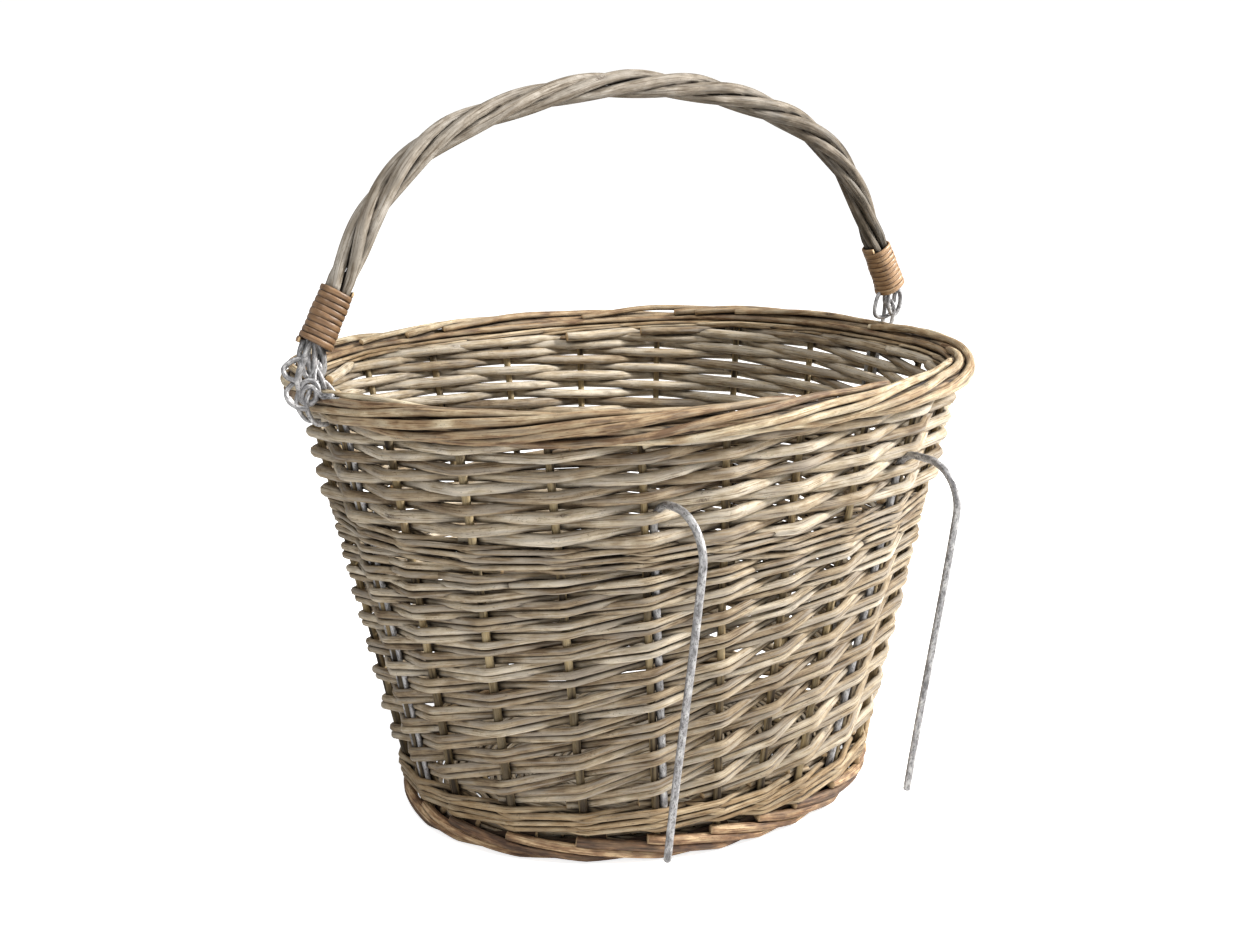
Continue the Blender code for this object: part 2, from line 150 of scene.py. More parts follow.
class Rods:
    """Gathers many rods into one piece, with what the materials need to know at every vertex.

    grain is the place in the rod's own cross-section and length, tone is the rod's own colour from
    0 dark to 1 light, also used for painted shade on some rods, and cut marks the cut ends.
    """

    def __init__(self):
        self.points, self.faces, self.normals = [], [], []
        self.grain, self.tone, self.cut = [], [], []
        self.count = 0

    def add(self, path, radius, sides=8, across=None, thin=1.0, tone=None):
        """A rod along path. With across, it is a strip: radius wide along across, thin times that thick.

        The tone is one number for the whole rod, or several that are spread evenly along it.
        """
        path = np.asarray(path, float)
        radius = np.broadcast_to(np.asarray(radius, float), len(path))
        lip = LIP * radius[0]
        first = path[0] + unit(path[1] - path[0]) * lip
        last = path[-1] + unit(path[-2] - path[-1]) * lip
        path = np.vstack([path[:1], first, path[1:-1], last, path[-1:]])
        ends = radius[[0, -1]] * (1 - END_SHRINK)
        radius = np.concatenate([ends[:1], radius, ends[1:]])
        tangent = unit(np.gradient(path, axis=0))
        if across is None:
            side = np.empty_like(path)
            current = UP if abs(tangent[0][2]) < STEEP else np.array((1.0, 0.0, 0.0))
            for i, t in enumerate(tangent):
                current = current - t * np.dot(current, t)
                current = current / np.linalg.norm(current)
                side[i] = current
        else:
            across = np.vstack([across[:1], across[:1], across[1:-1], across[-1:], across[-1:]])
            side = unit(across - tangent * np.sum(across * tangent, axis=1, keepdims=True))
        other = np.cross(tangent, side)
        turn = 2 * np.pi * (np.arange(sides) + 0.5) / sides
        cos, sin = np.cos(turn), np.sin(turn)
        if across is not None:
            cos = np.sign(cos) * np.abs(cos) ** STRIP_CORNERS[0]
            sin = np.sign(sin) * np.abs(sin) ** STRIP_CORNERS[1]
        x = radius[:, None] * cos
        y = radius[:, None] * sin * thin
        ring = path[:, None] + side[:, None] * x[..., None] + other[:, None] * y[..., None]
        length = np.concatenate([[0.0], np.cumsum(np.linalg.norm(np.diff(path, axis=0), axis=1))])
        length = length + rng.uniform(0, GRAIN_SHIFT)
        along = np.broadcast_to(length[:, None], x.shape)
        grain = np.stack([x, y, along], axis=-1)
        n = len(path)
        base = self.count
        index = base + np.arange(n * sides).reshape(n, sides)
        following = np.roll(index, -1, axis=1)
        quads = np.stack([index[:-1], following[:-1], following[1:], index[1:]], axis=-1).reshape(-1, 4)
        self.faces += quads.tolist()
        start, end = base + n * sides, base + n * sides + 1
        self.faces += [[start, j, i] for i, j in zip(index[0], following[0])]
        self.faces += [[end, i, j] for i, j in zip(index[-1], following[-1])]
        caps = np.array([path[0], path[-1]])
        self.points += [ring.reshape(-1, 3), caps]
        away = unit(ring - path[:, None])
        self.normals += [away.reshape(-1, 3), np.array([-tangent[0], tangent[-1]])]
        self.grain += [grain.reshape(-1, 3), [(0, 0, length[0]), (0, 0, length[-1])]]
        cut = np.zeros((n, sides))
        cut[0] = cut[-1] = 1.0
        self.cut += [cut.ravel(), [1.0, 1.0]]
        tone = rng.uniform() if tone is None else tone
        tone = np.interp(np.linspace(0, 1, n), np.linspace(0, 1, np.size(tone)), np.atleast_1d(tone))
        self.tone += [np.repeat(tone, sides), tone[[0, -1]]]
        self.count += n * sides + 2

    def piece(self, *wanted):
        """Keeps name, body, material, slot and the CAD nodes this stands for until every rod is known; the
        slot is not used.
        """
        self.wanted = wanted
        PIECES.append(self)

    def make(self, shade):
        name, body, finish, slot, nodes = self.wanted
        mesh = bpy.data.meshes.new(name)
        mesh.from_pydata(np.vstack(self.points).tolist(), [], self.faces)
        mesh.polygons.foreach_set("use_smooth", np.ones(len(mesh.polygons), bool))
        grain = mesh.attributes.new("grain", "FLOAT_VECTOR", "POINT")
        grain.data.foreach_set("vector", np.vstack(self.grain).astype(np.float32).ravel())
        layers = (("tone", np.concatenate(self.tone)), ("cut", np.concatenate(self.cut)), ("shade", shade))
        for word, values in layers:
            layer = mesh.attributes.new(word, "FLOAT", "POINT")
            layer.data.foreach_set("value", values.astype(np.float32))
        mesh.materials.append(finish)
        made = bpy.data.objects.new(name, mesh)
        bpy.context.scene.collection.objects.link(made)
        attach(made, body)
        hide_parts(*nodes)


PIECES = []
# Rays that feel for neighbours, for the painted shade in crevices: how far they go, how far from the surface
# they start, how many, how wide.
SHADE_REACH = 7 * MM
SHADE_LIFT = 0.25 * MM
SHADE_RAYS = 10
SHADE_SPREAD = 0.95


def make_pieces():
    """Builds every piece. shade says how far a vertex is shut in by rods, and the materials darken it there
    as painted shade.
    """
    points, faces, count = [], [], 0
    for rods in PIECES:
        points.append(np.vstack(rods.points))
        faces += [[i + count for i in face] for face in rods.faces]
        count += rods.count
    tree = BVHTree.FromPolygons(np.vstack(points).tolist(), faces)
    spread = unit(rng.normal(size=(SHADE_RAYS, 3)))
    for rods, places in zip(PIECES, points):
        normals = np.vstack(rods.normals)
        starts = (places + normals * SHADE_LIFT).tolist()
        shut = np.zeros(len(places))
        for ray in spread:
            aims = unit(normals + ray * SHADE_SPREAD).tolist()
            hits = [tree.ray_cast(start, aim, SHADE_REACH)[3] for start, aim in zip(starts, aims)]
            shut += [0.0 if hit is None else 1.0 - hit / SHADE_REACH for hit in hits]
        rods.make(shut / SHADE_RAYS)


# ---------------------------------------------------------------- materials


def srgb(r, g, b):
    """A display colour, 0 to 255, as a linear one."""

    def linear(c):
        c = c / 255
        return c / 12.92 if c < 0.04045 else ((c + 0.055) / 1.055) ** 2.4

    return (linear(r), linear(g), linear(b), 1.0)


class Graph:
    """Short words for building a material's nodes."""

    def __init__(self, name):
        self.material = bpy.data.materials.new(name)
        self.material.use_nodes = True
        self.tree = self.material.node_tree
        self.tree.nodes.clear()

    def node(self, kind, inputs=(), **settings):
        made = self.tree.nodes.new(kind)
        for key, value in settings.items():
            setattr(made, key, value)
        for key, value in dict(inputs).items():
            if isinstance(value, bpy.types.NodeSocket):
                self.tree.links.new(value, made.inputs[key])
            else:
                made.inputs[key].default_value = value
        return made

    def attribute(self, name, output):
        return self.node("ShaderNodeAttribute", attribute_name=name).outputs[output]

    def stretch(self, vector, scale):
        return self.node("ShaderNodeVectorMath", {0: vector, 1: scale}, operation="MULTIPLY").outputs[0]

    def noise(self, vector, scale, detail=2.0, rough=0.5):
        inputs = {"Vector": vector, "Scale": scale, "Detail": detail, "Roughness": rough}
        return self.node("ShaderNodeTexNoise", inputs).outputs["Fac"]

    def math(self, operation, a, b):
        return self.node("ShaderNodeMath", {0: a, 1: b}, operation=operation).outputs[0]

    def fit(self, value, low, high, to_low=0.0, to_high=1.0):
        inputs = {"Value": value, "From Min": low, "From Max": high, "To Min": to_low, "To Max": to_high}
        return self.node("ShaderNodeMapRange", inputs).outputs[0]

    def ramp(self, value, stops):
        made = self.node("ShaderNodeValToRGB", {"Fac": value})
        elements = made.color_ramp.elements
        while len(elements) < len(stops):
            elements.new(0.5)
        for element, (place, colour) in zip(elements, stops):
            element.position = place
            element.color = colour
        return made.outputs["Color"]

    def mix(self, share, a, b, blend="MIX"):
        made = self.node("ShaderNodeMix", data_type="RGBA", blend_type=blend)
        for socket, value in ((made.inputs[0], share), (made.inputs[6], a), (made.inputs[7], b)):
            if isinstance(value, bpy.types.NodeSocket):
                self.tree.links.new(value, socket)
            else:
                socket.default_value = value
        return made.outputs[2]

    def finish(self, colour, roughness, height, strength, depth, **extra):
        bump = self.node("ShaderNodeBump", {"Height": height, "Strength": strength, "Distance": depth})
        inputs = {"Base Color": colour, "Roughness": roughness, "Normal": bump.outputs[0]}
        inputs.update(extra)
        shader = self.node("ShaderNodeBsdfPrincipled", inputs)
        self.node("ShaderNodeOutputMaterial", {"Surface": shader.outputs[0]})
        return self.material


# Colour multiplied in as painted shade where rods are shut in by their neighbours.
PAINTED_CREVICE_SHADE = (0.055, 0.039, 0.027, 1.0)
STREAK_TINT = (0.30, 0.24, 0.18, 1.0)
SCAR = srgb(62, 46, 34)
SPECK = srgb(70, 54, 42)
PITH = (srgb(214, 190, 150), srgb(168, 134, 96))
CANE_STOPS = [
    (0.18, srgb(94, 70, 49)),
    (0.40, srgb(133, 103, 74)),
    (0.58, srgb(162, 128, 93)),
    (0.80, srgb(208, 179, 140)),
]
CANE_SPOT = srgb(92, 60, 40)
CANE_END = srgb(206, 176, 134)
ZINC_STOPS = (
    (0.30, (104, 103, 104)),
    (0.46, (150, 149, 150)),
    (0.58, (182, 181, 181)),
    (0.74, (212, 211, 208)),
)
ZINC_MOTTLE = srgb(72, 68, 66)


def willow(name, stops, grey, grey_share, scar_share, shine=0.3):
    """Dry willow bark or peeled rod: drifting colour, fine streaks along the rod, leaf scars, pale cut ends,
    and painted shade in the crevices.

    stops is the colour ramp, and grey is a thin washed film over it. scar_share says how dark the leaf
    scars are, and shine how strong the highlights. Noise lies mostly between 0.36 and 0.64.
    """
    g = Graph(name)
    grain = g.attribute("grain", "Vector")
    tone = g.attribute("tone", "Fac")
    drift = g.noise(grain, 45.0, 2.0)
    streak = g.noise(g.stretch(grain, (1.0, 1.0, 0.035)), 1500.0, 3.0, 0.6)
    broad = g.noise(g.stretch(grain, (1.0, 1.0, 0.09)), 420.0, 2.0)
    place = g.math("ADD", g.math("MULTIPLY", tone, 0.5), g.math("MULTIPLY", drift, 0.5))
    place = g.math("ADD", place, g.fit(streak, 0.36, 0.64, -0.11, 0.11))
    patch = g.noise(g.stretch(grain, (1.0, 1.0, 0.35)), 260.0, 3.0, 0.6)
    place = g.math("ADD", place, g.fit(patch, 0.36, 0.64, -0.16, 0.16))
    colour = g.ramp(place, stops)
    film = g.fit(broad, 0.46, 0.60, 0.0, grey_share)
    colour = g.mix(film, colour, grey)
    dark_line = g.fit(streak, 0.34, 0.43, 0.7, 0.0)
    colour = g.mix(dark_line, colour, STREAK_TINT, "MULTIPLY")
    cell_inputs = {"Vector": g.stretch(grain, (1.0, 1.0, 0.30)), "Scale": 150.0, "Randomness": 1.0}
    cells = g.node("ShaderNodeTexVoronoi", cell_inputs)
    rare = g.fit(g.noise(grain, 30.0, 1.0), 0.46, 0.60, 0.0, 1.0)
    scar = g.math("MULTIPLY", g.fit(cells.outputs["Distance"], 0.10, 0.26, 1.0, 0.0), rare)
    ragged = g.fit(g.noise(grain, 1800.0, 2.0), 0.35, 0.60, 0.25, 1.0)
    scar = g.math("MULTIPLY", scar, ragged)
    colour = g.mix(g.math("MULTIPLY", scar, scar_share), colour, SCAR)
    speck = g.fit(g.noise(g.stretch(grain, (1.0, 1.0, 0.6)), 1100.0, 2.0, 0.7), 0.60, 0.68, 0.0, 0.55)
    colour = g.mix(g.math("MULTIPLY", speck, g.fit(drift, 0.40, 0.60, 0.2, 1.0)), colour, SPECK)
    pith = g.mix(g.noise(grain, 900.0, 2.0), *PITH)
    colour = g.mix(g.attribute("cut", "Fac"), colour, pith)
    # Painted shade: darker where the vertex is shut in by neighbouring rods.
    colour = g.mix(g.fit(g.attribute("shade", "Fac"), 0.20, 0.72, 0.0, 0.96), colour, PAINTED_CREVICE_SHADE, "MULTIPLY")
    rough = g.fit(streak, 0.3, 0.7, 0.74, 0.58)
    height = g.math("ADD", streak, g.math("MULTIPLY", broad, 0.8))
    height = g.math("SUBTRACT", height, g.math("MULTIPLY", scar, 0.8))
    return g.finish(colour, rough, height, 0.55, 0.00045, **{"Specular IOR Level": shine})


def cane(name):
    """Split cane: honey brown, satin, faint fibres along the strip, and painted shade in the crevices."""
    g = Graph(name)
    grain = g.attribute("grain", "Vector")
    fibre = g.noise(g.stretch(grain, (1.0, 1.0, 0.03)), 1900.0, 3.0, 0.6)
    drift = g.noise(grain, 120.0, 2.0)
    place = g.math("ADD", g.math("MULTIPLY", drift, 0.6), g.math("MULTIPLY", g.attribute("tone", "Fac"), 0.3))
    place = g.math("ADD", place, g.fit(fibre, 0.3, 0.7, -0.12, 0.12))
    colour = g.ramp(place, CANE_STOPS)
    spot = g.fit(g.noise(grain, 700.0, 2.0, 0.6), 0.62, 0.70, 0.0, 0.5)
    colour = g.mix(spot, colour, CANE_SPOT)
    colour = g.mix(g.attribute("cut", "Fac"), colour, CANE_END)
    # Painted shade: darker where the vertex is shut in by neighbouring rods.
    colour = g.mix(g.fit(g.attribute("shade", "Fac"), 0.18, 0.7, 0.0, 0.85), colour, PAINTED_CREVICE_SHADE, "MULTIPLY")
    rough = g.fit(fibre, 0.3, 0.7, 0.50, 0.36)
    return g.finish(colour, rough, fibre, 0.35, 0.0003, **{"Specular IOR Level": 0.45})


def zinc(name, bright):
    """Galvanised wire: dull grey with pale bloom, darker mottles and small scuffs. bright scales the ramp."""
    g = Graph(name)
    grain = g.attribute("grain", "Vector")
    bloom = g.noise(g.stretch(grain, (1.0, 1.0, 0.4)), 420.0, 3.0, 0.6)
    mottle = g.noise(g.stretch(grain, (1.0, 1.0, 0.5)), 1300.0, 3.0, 0.65)
    colour = g.ramp(bloom, [(place, srgb(*(c * bright for c in shade))) for place, shade in ZINC_STOPS])
    colour = g.mix(g.fit(mottle, 0.51, 0.62, 0.0, 0.75), colour, ZINC_MOTTLE)
    metal = g.fit(mottle, 0.35, 0.62, 0.75, 0.30)
    rough = g.fit(bloom, 0.3, 0.7, 0.42, 0.62)
    height = g.math("ADD", mottle, g.math("MULTIPLY", bloom, 0.6))
    return g.finish(colour, rough, height, 0.4, 0.0003, Metallic=metal)


WALL_WILLOW = willow(
    "wall_willow",
    stops=[
        (0.12, srgb(112, 94, 72)),
        (0.34, srgb(146, 128, 102)),
        (0.52, srgb(168, 151, 125)),
        (0.70, srgb(190, 176, 152)),
        (0.90, srgb(210, 199, 180)),
    ],
    grey=srgb(160, 152, 140),
    grey_share=0.6,
    scar_share=0.85,
)
STAKE_WILLOW = willow(
    "stake_willow",
    stops=[
        (0.15, srgb(122, 102, 70)),
        (0.45, srgb(160, 140, 102)),
        (0.65, srgb(178, 158, 118)),
        (0.90, srgb(192, 174, 138)),
    ],
    grey=srgb(150, 138, 116),
    grey_share=0.35,
    scar_share=0.7,
)
BORDER_WILLOW = willow(
    "border_willow",
    stops=[
        (0.16, srgb(106, 80, 56)),
        (0.36, srgb(150, 124, 92)),
        (0.54, srgb(172, 150, 118)),
        (0.70, srgb(196, 178, 146)),
        (0.88, srgb(222, 210, 182)),
    ],
    grey=srgb(150, 138, 118),
    grey_share=0.5,
    scar_share=0.95,
    shine=0.4,
)
FOOT_WILLOW = willow(
    "foot_willow",
    stops=[
        (0.20, srgb(70, 48, 33)),
        (0.42, srgb(116, 86, 60)),
        (0.58, srgb(154, 120, 86)),
        (0.78, srgb(208, 180, 140)),
    ],
    grey=srgb(124, 106, 84),
    grey_share=0.35,
    scar_share=0.9,
    shine=0.5,
)
WALE_WILLOW = willow(
    "wale_willow",
    stops=[
        (0.12, srgb(104, 82, 56)),
        (0.36, srgb(142, 118, 86)),
        (0.58, srgb(166, 144, 112)),
        (0.85, srgb(192, 174, 144)),
    ],
    grey=srgb(144, 134, 116),
    grey_share=0.45,
    scar_share=0.85,
)
HANDLE_WILLOW = willow(
    "handle_willow",
    stops=[
        (0.05, srgb(66, 58, 46)),
        (0.36, srgb(112, 101, 86)),
        (0.60, srgb(146, 136, 122)),
        (0.85, srgb(190, 182, 170)),
    ],
    grey=srgb(146, 141, 133),
    grey_share=0.4,
    scar_share=0.7,
)
CANE = cane("binding_cane")
HOOK_WIRE = zinc("hook_wire", 1.0)
EYE_WIRE = zinc("eye_wire", 1.06)


# ---------------------------------------------------------------- weave

# Points of a rod, in stakes: close on both sides of a stake, and on the way to the next one.
CORNER = 0.05
MARKS = (-CORNER, CORNER, 0.14, 0.28, 0.42, 0.58, 0.72, 0.86)
CLOSEST = 0.02
# Sizes of single rods and their taper, as shares of the radius that is asked for.
SIZES = (0.92, 1.08)
TAPER = (1.07, 0.91)
# How far a rod runs on past its first and last stake, in stakes, and is tucked in at the last, in radii.
RUN_IN, RUN_OUT = 0.22, 0.24
TUCK = 1.5
# Chance: how far a pair of rods leans over, in radians, and how far a rod strays.
LEAN_OUT, LEAN_UP = 0.24, 0.16
SHIFT_OUT, SHIFT_UP = 0.15 * MM, 0.35 * MM
# A strand starts and ends this many rows outside the band, where it is squeezed against the edge.
ROWS_BELOW, ROWS_ABOVE = 0.6, 1.3
SHORTEST = 4
# The wales: first stake, run at both ends in stakes, and chance.
WALE_STRANDS = 3
WALE_START = 5
WALE_RUN = 0.3
WALE_SHIFT_OUT, WALE_SHIFT_UP = 0.3 * MM, 0.45 * MM


def straight_run(first, last, out, level):
    """A line that bends only at the stakes. out and level give the rod's place at each stake."""
    stakes = np.arange(math.floor(first) - 1, math.ceil(last) + 2)
    anchors = wall(stakes, level(stakes), out(stakes))
    m = np.array([stake + mark for stake in stakes for mark in MARKS])
    m = np.concatenate([[first], m[(m > first + CLOSEST) & (m < last - CLOSEST)], [last]])
    return m, np.stack([np.interp(m, stakes, anchors[:, k]) for k in range(3)], axis=1)


def noise_at(stakes, size):
    """A different small step at every stake."""
    return rng.normal(0, size, len(stakes)).clip(-2 * size, 2 * size)


def weave_band(rods, strands, first_row, last_row, level, radius, pair, shift, longest):
    """Strands that climb to the right, each in front of every second stake, in rods that overlap inside.

    Strand number n is in row n + shift at stake 0, and comes back there strands rows higher. level and
    radius are given by row. With pair, each strand is two rods. longest is the most stakes that a rod
    passes, but the last one of a strand may go a little further.
    """
    climb = strands / COUNT
    for strand in range(strands):
        start = math.ceil((first_row - ROWS_BELOW - strand - shift) / climb)
        end = math.floor((last_row + ROWS_ABOVE - strand - shift) / climb)
        start += (start + strand + 1) % 2
        while start < end - 1:
            length = 2 * int(rng.integers(longest // 2 - 2, longest // 2 + 1))
            if start + length > end - SHORTEST:
                length = end - start
            for part in ((-1, 1) if pair else (0,)):
                middle_row = np.clip(strand + shift + climb * (start + length / 2), first_row, last_row)
                size = radius(middle_row) * rng.uniform(*SIZES)

                def out(stakes):
                    side = np.where((stakes + strand) % 2 == 0, 1.0, -1.0)
                    lean = noise_at(stakes, LEAN_OUT)
                    tucked = np.where(stakes >= start + length, TUCK * size, 0.0)
                    reach = STAKE_RADIUS + size
                    return side * reach + part * size * np.sin(lean) - tucked + noise_at(stakes, SHIFT_OUT)

                def height(stakes):
                    lean = noise_at(stakes, LEAN_UP)
                    row = np.clip(strand + shift + climb * stakes, first_row, last_row)
                    return level(row) + part * size * np.cos(lean) + noise_at(stakes, SHIFT_UP)

                m, path = straight_run(start - RUN_IN, start + length + RUN_OUT, out, height)
                rods.add(path, size * np.linspace(*TAPER, len(m)))
            start += length


def wale(rods, low, high, rounds, radius, spread):
    """Three rods that go round together, each in front of two stakes and behind the next.

    They climb from low to high in rounds turns. spread lifts a rod behind a stake and at the two in front.
    """
    total = rounds * COUNT
    for strand in range(WALE_STRANDS):
        last = total + (strand - total) % WALE_STRANDS

        def out(stakes):
            side = np.where((stakes - WALE_START - strand) % WALE_STRANDS == 0, -1.0, 1.0)
            return side * (STAKE_RADIUS + radius) + noise_at(stakes, WALE_SHIFT_OUT)

        def level(stakes):
            done = np.clip(stakes - WALE_START, 0, total) / total
            lift = np.array(spread)[(stakes - WALE_START - strand) % WALE_STRANDS]
            return low + (high - low) * done + lift + noise_at(stakes, WALE_SHIFT_UP)

        m, path = straight_run(WALE_START + strand - WALE_RUN, WALE_START + last + WALE_RUN, out, level)
        rods.add(path, radius * (1 + wander(m, 0.12, 9.0)))


BASKET = "basket"
HANDLE = "handle"
STAKE_LEVELS = np.linspace(0.012, 0.238, 14)
STAKE_TAPER = np.linspace(1.05, 0.95, 14)
STAKE_DRIFT = 0.2 * MM
STAKE_WAVE = 0.15

stakes = Rods()
for number in range(COUNT):
    low, high = LOW[number], HIGH[number]
    line = (high - low) / (high[2] - low[2])
    path = low + line * (STAKE_LEVELS - low[2])[:, None]
    for axis in (0, 1):
        path[:, axis] += wander(STAKE_LEVELS, STAKE_DRIFT, STAKE_WAVE)
    stakes.add(path, STAKE_RADIUS * STAKE_TAPER * rng.uniform(0.95, 1.08))
stakes.piece("stakes", BASKET, STAKE_WILLOW, "washed_willow", STAKES)

lower = Rods()
weave_band(
    lower,
    strands=COUNT,
    first_row=-1,
    last_row=16.3,
    level=lambda row: 0.044 + 0.00915 * row - 0.000115 * row**2,
    radius=lambda row: np.interp(row, (-1, 5, 16), (2.45, 2.15, 1.74)) * MM,
    pair=True,
    shift=0.0,
    longest=20,
)
lower.piece("lower_weave_rods", BASKET, WALL_WILLOW, "washed_willow", ["lower_weave"])

upper = Rods()
weave_band(
    upper,
    strands=14,
    first_row=-1.0,
    last_row=9.9,
    level=lambda row: 0.1845 + 0.0057 * row - 0.00005 * row**2,
    radius=lambda row: np.interp(row, (0, 7, 9.5), (3.2, 2.9, 2.1)) * MM,
    pair=False,
    shift=-0.61,
    longest=20,
)
upper.piece("upper_weave_rods", BASKET, WALL_WILLOW, "washed_willow", ["upper_weave"])

# Name, levels at the start and the end, rounds, radius, lift in mm behind a stake and at the two in
# front, look and slot.
WALES = (
    ("middle_wale", 0.1664, 0.1788, 3, 0.00145, (1.6, -1.4, 1.0), WALL_WILLOW, "washed_willow"),
    ("bottom_wale", 0.0172, 0.0285, 3, 0.0017, (1.7, -1.5, 1.1), WALE_WILLOW, "brown_willow"),
    ("top_wale", 0.2368, 0.2400, 2, 0.0012, (1.1, -1.0, 0.8), WALE_WILLOW, "washed_willow"),
)
for name, low, high, rounds, radius, lifts, look, slot in WALES:
    band = Rods()
    wale(band, low, high, rounds, radius, np.array(lifts) * MM)
    band.piece(f"{name}_rods", BASKET, look, slot, [name])


# ---------------------------------------------------------------- borders

BORDER_OUT = 0.0065
BORDER_LEVEL = 0.2425
BORDER_CEILING = 9.2 * MM
BORDER_TAPER = (2.45, 1.95)
BORDER_DRIFT = 0.8 * MM
# How a stake's top leaves the wall: stakes along, then mm outwards and upwards from the border's middle.
LEAD = ((0.0, -6.3, -10.0), (0.12, -5.8, -8.0), (0.5, -2.5, -7.0), (1.1, 2.0, -6.0))
# From there it rolls round the border's middle, up the outside and over the top.
ROLL_FROM, ROLL_TO = -70, 140
ROLL_OUT, ROLL_UP = 6.1 * MM, 6.6 * MM
ROLL_STEPS = 24
ROLL_END = 5.6
# Filler rods inside the border: mm outwards and upwards from its middle, and radius in mm.
FILLERS = ((-4.4, 0.6, 2.0), (-0.6, -2.6, 2.3), (0.4, 1.6, 2.4), (3.4, -0.6, 2.2))
FILLER_SPAN = 11
FILLER_LAP = 0.4
FILLER_DRIFT = 0.5 * MM
# Painted shade: the fillers, seen only through gaps in the border, get a dark tone.
FILLER_PAINTED_SHADE_TONE = 0.15

border = Rods()
lead_m, lead_out, lead_up = np.array(LEAD).T
for stake in range(COUNT):
    end_m = ROLL_END + rng.uniform(-1.0, 0.6)
    turn = np.radians(np.linspace(ROLL_FROM, ROLL_TO, ROLL_STEPS + 1)[1:])
    knots_m = np.concatenate([lead_m, np.linspace(lead_m[-1], end_m, ROLL_STEPS + 1)[1:]])
    knots_out = np.concatenate([lead_out * MM, ROLL_OUT * np.cos(turn)])
    knots_up = np.concatenate([lead_up * MM, ROLL_UP * np.sin(turn)])
    m = np.linspace(0, end_m, 46)
    out = np.interp(m, knots_m, knots_out) + wander(m, BORDER_DRIFT, 3.4)
    up = np.interp(m, knots_m, knots_up) + wander(m, BORDER_DRIFT, 2.9)
    radius = np.linspace(*BORDER_TAPER, len(m)) * MM * rng.uniform(0.88, 1.12)
    path = wall(stake + m, WALL_TOP, BORDER_OUT + out)
    path[:, 2] = BORDER_LEVEL + np.minimum(up, BORDER_CEILING - radius)
    border.add(path, radius, sides=10)
for out, up, radius in FILLERS:
    for start in range(0, COUNT, FILLER_SPAN):
        m = start + np.linspace(-FILLER_LAP, FILLER_SPAN + FILLER_LAP, 90)
        level = BORDER_LEVEL + up * MM + wander(m, FILLER_DRIFT, 3.7)
        path = wall(m, WALL_TOP, BORDER_OUT + out * MM + wander(m, FILLER_DRIFT, 4.3))
        path[:, 2] = level
        border.add(path, radius * MM, tone=FILLER_PAINTED_SHADE_TONE)
border.piece("rim_border_rods", BASKET, BORDER_WILLOW, "brown_willow", ["rim_border"])

FOOT_RADIUS = 2.75 * MM
FOOT_DRIFT = 0.3 * MM
FLOOR_GAP = 0.1 * MM
# A rod of the foot's plait: stakes along, mm outwards from the stakes, and level in mm.
FOOT_LINE = ((-0.12, 2.6, 13.2), (0.0, 3.0, 12.8), (1.0, 3.8, 8.0), (2.0, 2.8, 3.3), (2.7, -1.5, 3.0))
# The start of the same rod on the inside, given in the same way.
INNER_M, INNER_OUT, INNER_LEVEL = (-1.0, 0.3), (-3.6, -3.0), (4.5, 12.0)
INNER_RADIUS = 2.4 * MM
# Painted shade: the inner rod starts get a very dark tone so the gaps in the foot look dark.
INNER_PAINTED_SHADE_TONE = -0.5

foot = Rods()
foot_m, foot_out, foot_level = np.array(FOOT_LINE).T
for stake in range(COUNT):
    start = rng.uniform(-0.06, 0.06)
    m = np.linspace(foot_m[0], foot_m[-1], 30)
    radius = FOOT_RADIUS * rng.uniform(0.92, 1.04) * np.linspace(1.03, 0.95, len(m))
    out = np.interp(m, foot_m, foot_out * MM) + wander(m, FOOT_DRIFT, 3.1)
    level = np.interp(m, foot_m, foot_level * MM) + wander(m, FOOT_DRIFT, 2.7)
    foot.add(wall(stake + start + m, np.maximum(level, radius + FLOOR_GAP), out), radius, sides=10)
    m = np.linspace(*INNER_M, 12)
    out = np.interp(m, INNER_M, INNER_OUT) * MM
    level = np.interp(m, INNER_M, INNER_LEVEL) * MM
    foot.add(wall(stake + m, level, out), INNER_RADIUS, tone=INNER_PAINTED_SHADE_TONE)
foot.piece("foot_border_rods", BASKET, FOOT_WILLOW, "brown_willow", ["foot_border"])


# ---------------------------------------------------------------- base

SHORT = [f"base_stick_short_{i}" for i in range(1, 8)]
LONG = [f"base_stick_long_{i}" for i in range(1, 4)]
STICK_DRIFT = 0.4 * MM
STICK_WAVE = 0.2
base_low, base_high = (np.array(corner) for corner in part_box("base_weave"))
base_middle = (base_low + base_high) / 2
base_half = (base_high - base_low) / 2

sticks = Rods()
crossings = []
for names, axis in ((SHORT, 1), (LONG, 0)):
    for name in names:
        low, high = (np.array(corner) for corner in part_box(name))
        middle = (low + high) / 2
        ends = np.array([middle, middle])
        ends[0][axis], ends[1][axis] = low[axis], high[axis]
        line = np.linspace(ends[0], ends[1], 9)
        line[:, 1 - axis] += wander(line[:, axis], STICK_DRIFT, STICK_WAVE)
        sticks.add(line, (high[2] - low[2]) / 2)
        crossings.append((1 - axis, middle[1 - axis] - base_middle[1 - axis], middle[2]))
sticks.piece("base_sticks", BASKET, STAKE_WILLOW, "washed_willow", SHORT + LONG)

RING_PITCH = 0.0044
RING_RADIUS = 0.00150
RING_INSET = 0.0022
RING_SMALLEST = 0.0012
RING_LIFT = 1.9 * MM + RING_RADIUS * 0.9
RING_PUSH = 0.95
RING_LEVELS = (0.0021, 0.0150)
STEPS_PER_STICK = 7
LAST_RING = int((base_half[1] - RING_INSET - RING_SMALLEST) / RING_PITCH)


def stick_turns(half):
    """Angles and levels where an oval with these half sizes crosses the base sticks, in order round it."""
    turns = []
    for axis, offset, level in crossings:
        share = offset / half[axis]
        if abs(share) < 0.97:
            first = math.acos(share) if axis == 0 else math.asin(share)
            second = -first if axis == 0 else math.pi - first
            turns += [(first % (2 * math.pi), level), (second % (2 * math.pi), level)]
    return np.array(sorted(turns)).T


